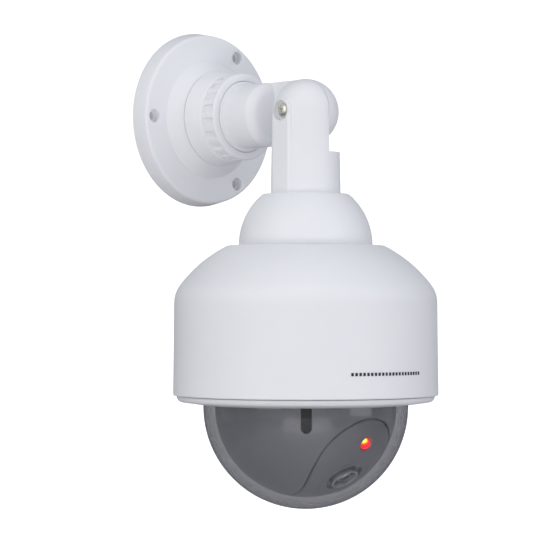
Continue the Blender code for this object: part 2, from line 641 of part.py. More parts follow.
def wire(frame, name, side, material):
    """A lead from the battery box down through the chassis plate to the back of the circuit board."""
    tilt = radians(LED_TILT)
    end_out, end_up = BOARD_OUT - 0.9, -2.5
    end_y = -end_out * cos(tilt) - end_up * sin(tilt)
    end_z = DOME_Z - end_out * sin(tilt) + end_up * cos(tilt)
    x = side * 1.6
    route = [(x, -17.6, -121.0), (x, -20.5, -121.6), (x, WIRE_HOLE_Y + 0.6, -124.0), (x, WIRE_HOLE_Y, -129.0),
             (x, WIRE_HOLE_Y + 1.0, -136.0), (x, -20.5, -144.0), (x, end_y + 4.0, end_z + 2.4),
             (x, end_y, end_z)]
    curve = bpy.data.curves.new(name, "CURVE")
    curve.dimensions = "3D"
    curve.bevel_depth = 0.6 * MM
    curve.bevel_resolution = 2
    curve.use_fill_caps = True
    line = curve.splines.new("POLY")
    line.points.add(len(route) - 1)
    for point, place in zip(line.points, route):
        point.co = (*(Vector(place) * MM), 1)
    obj = bpy.data.objects.new(name, curve)
    bpy.context.collection.objects.link(obj)
    obj.parent = frame
    curve.materials.append(material)


# ---------- build ----------

for old in list(bpy.data.objects):
    bpy.data.objects.remove(old, do_unlink=True)

WHITE = finish("white_abs", (0.80, 0.81, 0.83), 0.45)
SMOKE = finish("smoked_dome", (0.10, 0.10, 0.11), 0.05, alpha=0.35)
BALL_GREY = finish("ball_grey", (0.10, 0.10, 0.11), 0.4)
DARK_PLASTIC = finish("dark_plastic", (0.02, 0.02, 0.02), 0.5)
STEEL = finish("zinc_plated_steel", (0.62, 0.62, 0.60), 0.3, 1.0)
RED = finish("red_led", (0.80, 0.02, 0.02), 0.2)
GLASS = finish("lens_glass", (0.05, 0.06, 0.07), 0.05)
RUBBER = finish("seal_rubber", (0.03, 0.03, 0.03), 0.8)
NYLON = finish("washer_nylon", (0.70, 0.70, 0.66), 0.5)
BOARD_GREEN = finish("board_green", (0.03, 0.18, 0.07), 0.5)
CELL_BODY = finish("cell_jacket", (0.10, 0.10, 0.12), 0.4)
WIRE_RED = finish("wire_red", (0.55, 0.02, 0.02), 0.5)
WIRE_BLACK = finish("wire_black", (0.02, 0.02, 0.02), 0.5)

wall_frame = empty("wall_frame", rotation=(pi / 2, 0, 0))
arm_frame = empty("arm_frame", wall_frame)
head_frame = empty("head_frame", location=(0, -PIVOT_OUT, 0))
ball_frame = empty("ball_frame", head_frame, (0, 0, DOME_Z))
panel_turn = Matrix.Rotation(pi / 2 + radians(PANEL_TILT), 4, "X")
led_turn = Matrix.Rotation(pi / 2 + radians(LED_TILT), 4, "X")
lens_turn = Matrix.Rotation(pi / 2 + radians(LENS_TILT), 4, "X")
led_axis = empty("led_axis", ball_frame, rotation=(pi / 2 + radians(LED_TILT), 0, 0))
lens_axis = empty("lens_axis", ball_frame, rotation=(pi / 2 + radians(LENS_TILT), 0, 0))

wall_plate(wall_frame)
lock_collar(wall_frame)
swivel_arm(arm_frame)
pivot_hardware(arm_frame)
neck(head_frame)
housing(head_frame)
for index, angle in enumerate(LUG_ANGLES, 1):
    small_screw("neck_screw_%d" % index, head_frame, on_circle(NECK_SCREW_CIRCLE, angle),
                HOUSING_TOP_Z - WALL - GAP, 14.0)
retaining_ring(head_frame)
dome_cover(head_frame)
liner(ball_frame, panel_turn)
slot_baffles(ball_frame)
camera_panel(ball_frame, panel_turn, led_turn, lens_turn)
led(led_axis)
lens(lens_axis)
circuit(led_axis)
chassis_plate(head_frame)
for index, angle in enumerate(POST_ANGLES, 1):
    small_screw("chassis_screw_%d" % index, head_frame, on_circle(POST_CIRCLE, angle),
                CHASSIS_UNDER_Z - GAP, 11.0)
for index, x in enumerate((-LINER_SCREW_X, LINER_SCREW_X), 1):
    small_screw("liner_screw_%d" % index, head_frame, (x, 0), CHASSIS_TOP_Z + GAP, 10.0, up=-1)
battery_box(head_frame)
slide_switch(head_frame)
wire(head_frame, "wire_red", -1, WIRE_RED)
wire(head_frame, "wire_black", 1, WIRE_BLACK)
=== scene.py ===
from math import asin, atan2, cos, degrees, pi, radians, sin, sqrt

import bpy
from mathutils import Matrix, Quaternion, Vector


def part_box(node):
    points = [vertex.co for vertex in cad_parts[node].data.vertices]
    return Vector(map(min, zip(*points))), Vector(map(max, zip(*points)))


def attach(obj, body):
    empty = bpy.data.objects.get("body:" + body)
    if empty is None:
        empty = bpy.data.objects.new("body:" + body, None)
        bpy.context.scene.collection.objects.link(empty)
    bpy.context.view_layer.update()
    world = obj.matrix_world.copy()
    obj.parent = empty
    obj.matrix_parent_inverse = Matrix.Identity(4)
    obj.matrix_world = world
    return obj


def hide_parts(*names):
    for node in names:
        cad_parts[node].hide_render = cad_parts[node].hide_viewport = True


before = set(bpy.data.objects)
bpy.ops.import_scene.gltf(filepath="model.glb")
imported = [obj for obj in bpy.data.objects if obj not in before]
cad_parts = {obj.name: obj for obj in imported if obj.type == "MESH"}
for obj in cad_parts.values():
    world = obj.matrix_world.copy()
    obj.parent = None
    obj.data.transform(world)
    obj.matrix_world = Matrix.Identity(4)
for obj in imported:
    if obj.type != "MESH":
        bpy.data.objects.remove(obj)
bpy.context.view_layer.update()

mm = 0.001                                             # lengths below are in millimetres
washerLow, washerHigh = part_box("friction_washer")
pivot = (washerLow + washerHigh) / 2 / mm              # middle of the knuckle, where the head tilts
ballCentre = Vector((0, pivot.y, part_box("dome_cover")[0].z / mm + 50.0))


# ---------- modelling helpers ----------

def startFresh():
    if bpy.context.object and bpy.context.object.mode != "OBJECT":
        bpy.ops.object.mode_set(mode="OBJECT")
    bpy.ops.object.select_all(action="DESELECT")


def onlyThis(piece):
    startFresh()
    bpy.context.view_layer.objects.active = piece
    piece.select_set(True)


# goes to edit mode with just the parts that pass the test selected
def pick(piece, kind, test):
    onlyThis(piece)
    bpy.ops.object.mode_set(mode="EDIT")
    bpy.ops.mesh.select_mode(type=kind)
    bpy.ops.mesh.select_all(action="DESELECT")
    bpy.ops.object.mode_set(mode="OBJECT")
    parts = {"VERT": piece.data.vertices, "EDGE": piece.data.edges, "FACE": piece.data.polygons}[kind]
    for part in parts:
        part.select = test(part)
    bpy.ops.object.mode_set(mode="EDIT")


def arcPoints(centreR, centreZ, radius, start, end, count):
    angles = [radians(start + (end - start) * i / count) for i in range(count + 1)]
    return [(centreR + radius * cos(a), centreZ + radius * sin(a)) for a in angles]


def closeRing(height, poleHeight):
    bpy.ops.mesh.extrude_region_move()
    bpy.ops.transform.translate(value=(0, 0, (poleHeight - height) * mm))
    bpy.ops.mesh.merge(type="CENTER")


# a circle pulled out ring by ring along an outline of (radius, height) points, closed into one solid
def turnPiece(name, outline, sides=128):
    startFresh()
    rings = [point for point in outline if point[0] > 0]
    radius, height = rings[0]
    bpy.ops.mesh.primitive_circle_add(vertices=sides, radius=radius * mm, fill_type="NOTHING",
                                      location=(0, 0, 0))
    piece = bpy.context.object
    piece.name = piece.data.name = name
    bpy.ops.object.mode_set(mode="EDIT")
    bpy.ops.mesh.select_mode(type="VERT")
    bpy.ops.mesh.select_all(action="SELECT")
    bpy.ops.transform.translate(value=(0, 0, height * mm))
    loop = rings[1:] + ([rings[0]] if len(rings) == len(outline) else [])
    for nextRadius, nextHeight in loop:
        grow = nextRadius / radius
        bpy.ops.mesh.extrude_region_move()
        bpy.ops.transform.resize(value=(grow, grow, 1), center_override=(0, 0, 0))
        bpy.ops.transform.translate(value=(0, 0, (nextHeight - height) * mm))
        radius, height = nextRadius, nextHeight
    if outline[-1][0] == 0:
        closeRing(height, outline[-1][1])
    if outline[0][0] == 0:
        bpy.ops.mesh.select_all(action="DESELECT")
        bpy.ops.mesh.select_non_manifold(extend=False, use_wire=False, use_multi_face=False,
                                         use_non_contiguous=False, use_verts=False)
        closeRing(rings[0][1], outline[0][1])
    bpy.ops.mesh.select_all(action="SELECT")
    bpy.ops.mesh.remove_doubles(threshold=0.001 * mm)
    bpy.ops.mesh.normals_make_consistent(inside=False)
    bpy.ops.object.mode_set(mode="OBJECT")
    return piece


def place(piece, turn=(0, 0, 0), at=(0, 0, 0)):
    onlyThis(piece)
    piece.rotation_euler = turn
    piece.location = Vector(at) * mm
    bpy.ops.object.transform_apply(location=True, rotation=True, scale=True)
    return piece


def bar(start, end, radius, sides=48):
    startFresh()
    start, end = Vector(start) * mm, Vector(end) * mm
    run = end - start
    halfStep = Quaternion((0, 0, 1), pi / sides)          # no corner stands exactly over or beside the middle
    bpy.ops.mesh.primitive_cylinder_add(vertices=sides, radius=radius * mm, depth=run.length,
                                        location=(start + end) / 2,
                                        rotation=(run.to_track_quat("Z", "Y") @ halfStep).to_euler())
    bpy.ops.object.transform_apply(location=True, rotation=True, scale=True)
    return bpy.context.object


# a round bar whose lower or upper half is drawn out to another height, for slots and ribs
def stadium(start, end, radius, reach, sides=40):
    piece = bar(start, end, radius, sides)
    middle = start[2] * mm
    pick(piece, "VERT", lambda v: (v.co.z - middle) * (reach - start[2]) > 0)
    bpy.ops.transform.translate(value=(0, 0, (reach - start[2]) * mm))
    bpy.ops.object.mode_set(mode="OBJECT")
    return piece


def block(low, high):
    startFresh()
    low, high = Vector(low) * mm, Vector(high) * mm
    bpy.ops.mesh.primitive_cube_add(size=1, location=(low + high) / 2)
    bpy.context.object.scale = high - low
    bpy.ops.object.transform_apply(location=True, rotation=True, scale=True)
    return bpy.context.object


def applyModifier(piece, kind, **settings):
    onlyThis(piece)
    modifier = piece.modifiers.new(kind.title(), kind)
    for key, value in settings.items():
        setattr(modifier, key, value)
    bpy.ops.object.modifier_apply(modifier=modifier.name)


def roundEdges(piece, width, segments=3, angle=35):
    applyModifier(piece, "BEVEL", width=width * mm, segments=segments, limit_method="ANGLE",
                  angle_limit=radians(angle))


def combine(piece, operation, tools):
    for tool in tools:
        applyModifier(piece, "BOOLEAN", operation=operation, object=tool, solver="EXACT")
        bpy.data.objects.remove(tool, do_unlink=True)
    return piece


def weld(piece, *tools):
    return combine(piece, "UNION", tools)


def carve(piece, *tools):
    return combine(piece, "DIFFERENCE", tools)


# last steps for every piece: shading, finish, and the body that carries it
def finishPiece(piece, body, material, slot, *nodes, angle=30):
    onlyThis(piece)
    bpy.ops.object.shade_smooth_by_angle(angle=radians(angle))
    piece.data.materials.clear()
    piece.data.materials.append(material)
    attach(piece, body)
    if nodes:
        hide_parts(*nodes)
    return piece


# ---------- camera ----------

print("camera")
view = {"at": (-0.8574, -0.9549, -0.0927), "towards": (0.6905, 0.7232, 0.0118), "lens": 164.2}
bpy.ops.object.camera_add(location=view["at"],
                          rotation=Vector(view["towards"]).to_track_quat("-Z", "Y").to_euler())
camera = bpy.context.object
camera.data.lens = view["lens"]
camera.data.sensor_width = 36.0
camera.data.clip_end = 20.0
bpy.context.scene.camera = camera


# ---------- materials ----------

def colour(code):
    parts = [int(code[i:i + 2], 16) / 255 for i in (1, 3, 5)]
    return tuple(p / 12.92 if p <= 0.04045 else ((p + 0.055) / 1.055) ** 2.4 for p in parts) + (1.0,)


def addNode(tree, kind, settings=None, links=None):
    node = tree.nodes.new(kind)
    for key, value in (settings or {}).items():
        if isinstance(key, str) and key not in node.inputs:
            setattr(node, key, value)
        else:
            node.inputs[key].default_value = value
    for key, source in (links or {}).items():
        tree.links.new(source, node.inputs[key])
    return node


def newMaterial(name):
    material = bpy.data.materials.new(name)
    material.use_nodes = True
    material.node_tree.nodes.clear()
    return material


# a base colour that drifts between two close shades, and a fine bump that also moves the roughness;
# drift and grain are sizes on the piece in mm
def surfaced(name, shades, roughness, drift, grain, bump, swing=0.05, **settings):
    material = newMaterial(name)
    tree = material.node_tree
    spot = addNode(tree, "ShaderNodeTexCoord").outputs["Object"]
    cloud = addNode(tree, "ShaderNodeTexNoise", {"Scale": 1 / (drift * mm), "Detail": 3.0}, {"Vector": spot})
    fine = addNode(tree, "ShaderNodeTexNoise", {"Scale": 1 / (grain * mm), "Detail": 2.0}, {"Vector": spot})
    tint = addNode(tree, "ShaderNodeMix", {"data_type": "RGBA", 6: colour(shades[0]), 7: colour(shades[1])},
                   {0: cloud.outputs["Fac"]})
    rough = addNode(tree, "ShaderNodeMapRange", {"To Min": roughness - swing, "To Max": roughness + swing},
                    {"Value": fine.outputs["Fac"]})
    lift = addNode(tree, "ShaderNodeBump", {"Strength": bump, "Distance": 0.05 * mm},
                   {"Height": fine.outputs["Fac"]})
    shader = addNode(tree, "ShaderNodeBsdfPrincipled", settings,
                     {"Base Color": tint.outputs[2], "Roughness": rough.outputs["Result"],
                      "Normal": lift.outputs["Normal"]})
    addNode(tree, "ShaderNodeOutputMaterial", None, {"Surface": shader.outputs["BSDF"]})
    return material


# glass or clear plastic that lets the lamps shine through; smoke is a colour per 10 mm of wall
def clearMaterial(name, body, shade, ior, roughness, smoke=None, density=0.0):
    material = newMaterial(name)
    tree = material.node_tree
    glass = addNode(tree, "ShaderNodeBsdfPrincipled",
                    {"Base Color": colour(body), "Roughness": roughness, "IOR": ior,
                     "Transmission Weight": 1.0})
    through = addNode(tree, "ShaderNodeBsdfTransparent", {"Color": colour(shade)})
    ray = addNode(tree, "ShaderNodeLightPath")
    mix = addNode(tree, "ShaderNodeMixShader", None,
                  {0: ray.outputs["Is Shadow Ray"], 1: glass.outputs["BSDF"], 2: through.outputs["BSDF"]})
    out = addNode(tree, "ShaderNodeOutputMaterial", None, {"Surface": mix.outputs["Shader"]})
    if smoke:
        murk = addNode(tree, "ShaderNodeVolumeAbsorption", {"Color": colour(smoke), "Density": density})
        tree.links.new(murk.outputs["Volume"], out.inputs["Volume"])
    return material


# clear red epoxy lit by its die: a hot yellow spot high in the body that falls off to deep red
def litEpoxy(name, hotSpot):
    material = newMaterial(name)
    tree = material.node_tree
    spot = addNode(tree, "ShaderNodeTexCoord").outputs["Object"]
    away = addNode(tree, "ShaderNodeVectorMath", {"operation": "DISTANCE", 1: hotSpot}, {0: spot})
    share = addNode(tree, "ShaderNodeMapRange", {"From Min": 0.0, "From Max": 5.0 * mm},
                    {"Value": away.outputs["Value"]})
    ramp = addNode(tree, "ShaderNodeValToRGB", None, {"Fac": share.outputs["Result"]})
    stops = ramp.color_ramp.elements
    stops[0].position, stops[0].color = 0.0, colour("#FFE070")
    stops[1].position, stops[1].color = 1.0, colour("#8E0714")
    for position, code in ((0.26, "#FFC83C"), (0.36, "#FF4A18"), (0.5, "#E8141C")):
        stops.new(position).color = colour(code)
    shader = addNode(tree, "ShaderNodeBsdfPrincipled",
                     {"Base Color": colour("#C01418"), "Roughness": 0.12, "IOR": 1.55,
                      "Emission Strength": 5.0},
                     {"Emission Color": ramp.outputs["Color"]})
    addNode(tree, "ShaderNodeOutputMaterial", None, {"Surface": shader.outputs["BSDF"]})
    return material


print("materials")
# white ABS with a fine spark-eroded mould finish: satin and very slightly cool
whiteAbs = surfaced("spark_finished_white_abs", ("#EDEEF1", "#F1F2F4"), 0.5, 30.0, 0.5, 0.08,
                    **{"IOR": 1.53, "Subsurface Weight": 0.35, "Subsurface Radius": (1.0, 0.9, 0.85),
                       "Subsurface Scale": 3.0 * mm})
# smoked acrylic, blown to shape: clear and glossy, and darker where the wall is looked along
smokedAcrylic = clearMaterial("blown_smoked_acrylic", "#F4F4F6", "#F4F4F6", 1.49, 0.015, "#4A4A52", 300.0)
# grey ABS sprayed with a satin silver lacquer
satinGrey = surfaced("satin_silver_lacquer", ("#B4B6BA", "#BCBEC2"), 0.38, 12.0, 0.5, 0.06, Metallic=0.2)
# black ABS, moulded smooth: deep and a little shiny
blackAbs = surfaced("smooth_black_abs", ("#131315", "#1B1B1E"), 0.35, 8.0, 0.4, 0.08)
# bright zinc plate on a pan-head steel screw
brightZinc = surfaced("bright_zinc_plate", ("#E4E0D2", "#F4F1E8"), 0.4, 1.2, 0.35, 0.12, Metallic=1.0)
# turned alloy ring round the lens
turnedAlloy = surfaced("turned_pale_alloy", ("#D8DADD", "#E6E8EA"), 0.32, 2.0, 0.3, 0.1, Metallic=1.0)
opticGlass = clearMaterial("coated_lens_glass", "#E6ECF0", "#E6ECF0", 1.52, 0.01)
naturalNylon = surfaced("turned_natural_nylon", ("#DAD8CE", "#E4E2DA"), 0.5, 3.0, 0.5, 0.1)
sealFoam = surfaced("cut_black_rubber", ("#191919", "#242424"), 0.75, 2.0, 0.4, 0.3)
solderResist = surfaced("green_solder_resist", ("#17522C", "#22693B"), 0.3, 3.0, 1.0, 0.2)
cellFilm = surfaced("shrunk_cell_film", ("#26262C", "#34343A"), 0.28, 6.0, 1.5, 0.1)
redPvc = surfaced("red_pvc_sleeve", ("#A81616", "#BC1E1E"), 0.4, 3.0, 0.5, 0.1)
blackPvc = surfaced("black_pvc_sleeve", ("#131313", "#1E1E1E"), 0.4, 3.0, 0.5, 0.1)
padInk = surfaced("pad_printed_ink", ("#1B1C20", "#26272B"), 0.45, 1.0, 0.3, 0.1)


# ---------- wall plate ----------

print("wall plate")
plateValues = {"backRadius": 44.2, "frontRadius": 42.9, "thickness": 9.15, "edgeRound": 1.6,
               "coneFoot": 29.7, "coneTop": 24.3, "hubOut": 15.9, "hubBore": 20.2, "hubFloor": 4.2,
               "pocketIn": 26.2, "pocketOut": 41.2, "pocketDeep": 6.4, "holeCircle": 37.4, "holeRadius": 2.3,
               "sinkRadius": 3.35, "sinkDepth": 3.4, "bossRadius": 5.2, "ribHalf": 0.8,
               "holeAngles": (60, 180, 300)}


def onCircle(radius, angle):
    return radius * cos(radians(angle)), radius * sin(radians(angle))


def makeWallPlate():
    v = plateValues
    edge, deep = v["edgeRound"], v["thickness"]
    outline = [(0, 0.0), (v["pocketIn"], 0.0), (v["pocketIn"], v["pocketDeep"]),
               (v["pocketOut"], v["pocketDeep"]), (v["pocketOut"], 0.0), (v["backRadius"] - 0.3, 0.0),
               (v["backRadius"], 0.3)]
    outline += arcPoints(v["frontRadius"] - edge, deep - edge, edge, 4, 90, 7)
    # the cone rises out of the plate through a small hollow fillet and ends in a rounded lip
    outline += [(v["coneFoot"] + 1.2, deep), (v["coneFoot"] + 0.2, deep + 0.25),
                (v["coneFoot"] - 0.6, deep + 1.1)]
    outline += [(v["coneTop"] + 0.25, v["hubOut"] - 0.5), (v["coneTop"] - 0.4, v["hubOut"]),
                (v["hubBore"] + 0.4, v["hubOut"]), (v["hubBore"], v["hubOut"] - 0.4),
                (v["hubBore"], v["hubFloor"]), (0, v["hubFloor"])]
    plate = turnPiece("wallPlate", outline, 144)
    for angle in v["holeAngles"]:
        x, y = onCircle(v["holeCircle"], angle)
        weld(plate, bar((x, y, 0.4), (x, y, v["pocketDeep"] + 0.6), v["bossRadius"]))
        rib = block((v["pocketIn"] - 0.6, -v["ribHalf"], 0.5),
                    (v["pocketOut"] + 0.6, v["ribHalf"], v["pocketDeep"] + 0.6))
        weld(plate, place(rib, turn=(0, 0, radians(angle + 60))))
    for angle in v["holeAngles"]:
        x, y = onCircle(v["holeCircle"], angle)
        carve(plate, bar((x, y, -1), (x, y, deep + 1), v["holeRadius"]),
              bar((x, y, deep - v["sinkDepth"]), (x, y, deep + 1), v["sinkRadius"]))
    roundEdges(plate, 0.35, 2, 50)
    place(plate, turn=(pi / 2, 0, 0))
    return finishPiece(plate, "wall_mount", whiteAbs, "white_abs", "wall_plate")


makeWallPlate()


# ---------- locking collar ----------

print("locking collar")
collarValues = {"bore": 17.85, "spigot": 19.8, "spigotEnd": 9.0, "back": 16.2, "backRadius": 24.1,
                "taperEnd": 25.6, "gripRadius": 21.7, "front": 35.6, "notches": 20, "notchFrom": 27.0,
                "notchTo": 34.4,
                "notchDeep": 1.2}


def makeLockCollar():
    v = collarValues
    outline = [(v["bore"], v["spigotEnd"]), (v["spigot"], v["spigotEnd"]), (v["spigot"], v["back"]),
               (v["backRadius"] - 0.3, v["back"]), (v["backRadius"], v["back"] + 0.3),
               (v["backRadius"] - 0.1, v["back"] + 1.0), (v["gripRadius"] + 0.8, v["taperEnd"]),
               (v["gripRadius"] + 0.3, v["taperEnd"] + 0.4), (v["gripRadius"], v["taperEnd"] + 0.9),
               (v["gripRadius"], v["notchFrom"]), (v["gripRadius"], v["notchTo"]),
               (v["gripRadius"], v["front"] - 0.8), (v["gripRadius"] - 0.25, v["front"] - 0.25),
               (v["gripRadius"] - 0.8, v["front"]), (v["bore"] + 0.3, v["front"]),
               (v["bore"], v["front"] - 0.3)]
    facesPerNotch = 7
    collar = turnPiece("lockCollar", outline, v["notches"] * facesPerNotch)
    pitch = 360 / v["notches"]

    def inNotch(face):
        x, y, z = face.center
        bearing = (degrees(atan2(y, x)) + pitch / 2) % pitch - pitch / 2
        onRim = sqrt(x * x + y * y) > (v["gripRadius"] - 0.5) * mm
        return (v["notchFrom"] * mm < z < v["notchTo"] * mm and onRim
                and abs(bearing) < pitch * 2 / facesPerNotch)

    pick(collar, "FACE", inNotch)
    bpy.ops.mesh.extrude_region_shrink_fatten(TRANSFORM_OT_shrink_fatten={"value": -v["notchDeep"] * mm})
    bpy.ops.object.mode_set(mode="OBJECT")
    roundEdges(collar, 0.3, 2, 40)
    place(collar, turn=(0, 0, radians(pitch / 2)))
    place(collar, turn=(pi / 2, 0, 0))
    return finishPiece(collar, "collar", whiteAbs, "white_abs", "lock_collar")


makeLockCollar()


# ---------- swivelling arm ----------

print("arm")
armValues = {"flangeRadius": 19.6, "flangeFrom": 4.6, "flangeTo": 8.6, "rootRadius": 17.7, "rootEnd": 36.2,
             "radius": 15.8, "ballRadius": 16.2, "coreRadius": 12.4, "coreEnd": 46.0, "shortEnd": 55.6,
             "shortRound": 5.0, "washerRoom": 1.05, "washerRadius": 7.9, "bossRadius": 6.0, "bossOut": 17.2,
             "pocketFrom": 12.7, "pocketRadius": 4.0, "holeRadius": 1.9}
halfGap = 0.15                                          # half of the gap between the two knuckle halves


def makeSwivelArm():
    v = armValues
    out = -pivot.y
    outline = [(0, v["flangeFrom"]), (v["flangeRadius"], v["flangeFrom"]),
               (v["flangeRadius"], v["flangeTo"]), (v["rootRadius"], v["flangeTo"]),
               (v["rootRadius"], v["rootEnd"] - 0.9), (v["rootRadius"] - 0.25, v["rootEnd"] - 0.25),
               (v["rootRadius"] - 0.8, v["rootEnd"]), (v["radius"] + 0.3, v["rootEnd"]),
               (v["radius"], v["rootEnd"] + 0.3), (v["radius"] + 0.2, 55.0)]
    outline += arcPoints(0, out, v["ballRadius"], 0, 90, 24)[:-1] + [(0, out + v["ballRadius"])]
    arm = turnPiece("swivelArm", outline, 112)
    core = [(0, v["coreEnd"]), (v["coreRadius"], v["coreEnd"]), (v["coreRadius"], v["flangeFrom"] - 1),
            (0, v["flangeFrom"] - 1)]
    carve(arm, turnPiece("armCore", core, 96))

    # the near half stops short with a rounded end; the far half runs on to the pivot
    near, away = v["radius"] - v["shortRound"], 30.0
    roundFrom = v["shortEnd"] - v["shortRound"]
    waste = [(0, v["shortEnd"])] + arcPoints(near, roundFrom, v["shortRound"] + 0.4, 89, 0, 10)
    waste += [(away, roundFrom), (away, out + away), (0, out + away)]
    waste = turnPiece("armWaste", waste, 100)
    pick(waste, "FACE", lambda face: True)
    bpy.ops.mesh.bisect(plane_co=(halfGap * mm, 0, 0), plane_no=(1, 0, 0), use_fill=True, clear_outer=True)
    bpy.ops.object.mode_set(mode="OBJECT")
    carve(arm, waste)

    weld(arm, nutBoss(v, out))
    carve(arm, bar((v["pocketFrom"], 0, out), (20, 0, out), v["pocketRadius"], 6),
          bar((-1, 0, out), (20.5, 0, out), v["holeRadius"], 36),
          bar((-1.2, 0, out), (v["washerRoom"], 0, out), v["washerRadius"], 60))
    roundEdges(arm, 0.4, 3, 40)
    place(arm, turn=(pi / 2, 0, 0))
    return finishPiece(arm, "arm", whiteAbs, "white_abs", "swivel_arm")


# boss that holds the nut, with a rounded outer edge
def nutBoss(v, out):
    boss = turnPiece("nutBoss", [(0, 8.0), (v["bossRadius"], 8.0), (v["bossRadius"], v["bossOut"] - 1.2),
                                 (v["bossRadius"] - 0.35, v["bossOut"] - 0.4),
                                 (v["bossRadius"] - 1.2, v["bossOut"]), (0, v["bossOut"])], 64)
    return place(boss, turn=(0, pi / 2, 0), at=(0, 0, out))


makeSwivelArm()


# ---------- pivot screw and nut ----------

print("pivot screw and nut")
screwValues = {"headFrom": 14.9, "headTop": 16.9, "headRadius": 3.5, "shaftRadius": 1.55, "tip": -16.4,
               "slotHalf": 0.42, "slotLong": 1.9, "slotDeep": 1.3, "slotTurn": 25, "threadPitch": 0.8,
               "nutFrom": 13.0, "nutTo": 15.6, "nutRadius": 3.6, "nutBore": 1.9}


def makePivotScrew():
    v = screwValues
    top, radius = v["headTop"], v["headRadius"]
    outline = [(0, top), (0.9, top - 0.04), (1.7, top - 0.16), (2.4, top - 0.4), (3.0, top - 0.8),
               (3.35, top - 1.2), (radius, top - 1.6), (radius, v["headFrom"] + 0.15),
               (radius - 0.15, v["headFrom"]), (v["shaftRadius"], v["headFrom"])]
    threadFrom = v["headFrom"] - 2.0
    turns = int((threadFrom - v["tip"] - 1.0) / v["threadPitch"])
    # the thread, drawn as rings a pitch apart, which looks the same at this size
    for i in range(turns):
        z = threadFrom - i * v["threadPitch"]
        outline += [(v["shaftRadius"], z), (v["shaftRadius"] - 0.25, z - v["threadPitch"] / 2)]
    outline += [(v["shaftRadius"] - 0.1, v["tip"] + 0.4), (v["shaftRadius"] - 0.5, v["tip"]), (0, v["tip"])]
    screw = turnPiece("pivotScrew", outline, 48)
    for turn in (0, 90):
        wing = block((-v["slotLong"], -v["slotHalf"], top - v["slotDeep"]),
                     (v["slotLong"], v["slotHalf"], top + 0.5))
        pick(wing, "FACE", lambda face: face.normal.z < -0.9)
        bpy.ops.transform.resize(value=(0.45, 0.7, 1))
        bpy.ops.object.mode_set(mode="OBJECT")
        carve(screw, place(wing, turn=(0, 0, radians(v["slotTurn"] + turn))))
    roundEdges(screw, 0.06, 2, 40)
    place(screw, turn=(0, -pi / 2, 0), at=(0, pivot.y, 0))
    return finishPiece(screw, "arm", brightZinc, "zinc_steel", "pivot_screw")


def makePivotNut():
    v = screwValues
    nut = bar((0, 0, v["nutFrom"]), (0, 0, v["nutTo"]), v["nutRadius"], 6)
    nut.name = nut.data.name = "pivotNut"
    # a hex bar with its corners turned down at both ends
    faceRadius, rim = 2.2, v["nutRadius"] + 1.0
    crown = turnPiece("nutCrown", [(0, v["nutTo"] + 1), (faceRadius, v["nutTo"] + 1), (rim, v["nutTo"] - 0.9),
                                   (rim, v["nutFrom"] + 0.9), (faceRadius, v["nutFrom"] - 1),
                                   (0, v["nutFrom"] - 1)], 64)
    combine(nut, "INTERSECT", [crown])
    carve(nut, bar((0, 0, v["nutFrom"] - 1), (0, 0, v["nutTo"] + 1), v["nutBore"], 48))
    roundEdges(nut, 0.12, 2, 40)
    place(nut, turn=(0, pi / 2, 0), at=(0, pivot.y, 0))
    return finishPiece(nut, "arm", brightZinc, "zinc_steel", "pivot_nut")


makePivotScrew()
makePivotNut()


# ---------- neck ----------

print("neck")
neckValues = {"ballRadius": 16.2, "stepZ": -19.8, "stemTop": 16.7, "stemFoot": 17.1, "capTop": -40.1,
              "capRadius": 32.7, "capBase": -65.15, "capFlat": 20.6, "wall": 2.5, "stemBore": 13.6,
              "stemRoof": -27.0, "capRoof": -43.2, "ribHalf": 6.0, "ribFace": 17.4, "ribRound": 1.3,
              "sinkRadius": 5.0, "sinkFloor": 14.6, "holeRadius": 1.9, "screwCircle": 22.0,
              "screwAngles": (90, 210, 330), "washerRoom": 1.05, "washerRadius": 7.9, "bossRadius": 3.8,
              "bossTop": -47.0, "pilotRadius": 1.6, "pilotTop": -52.0}


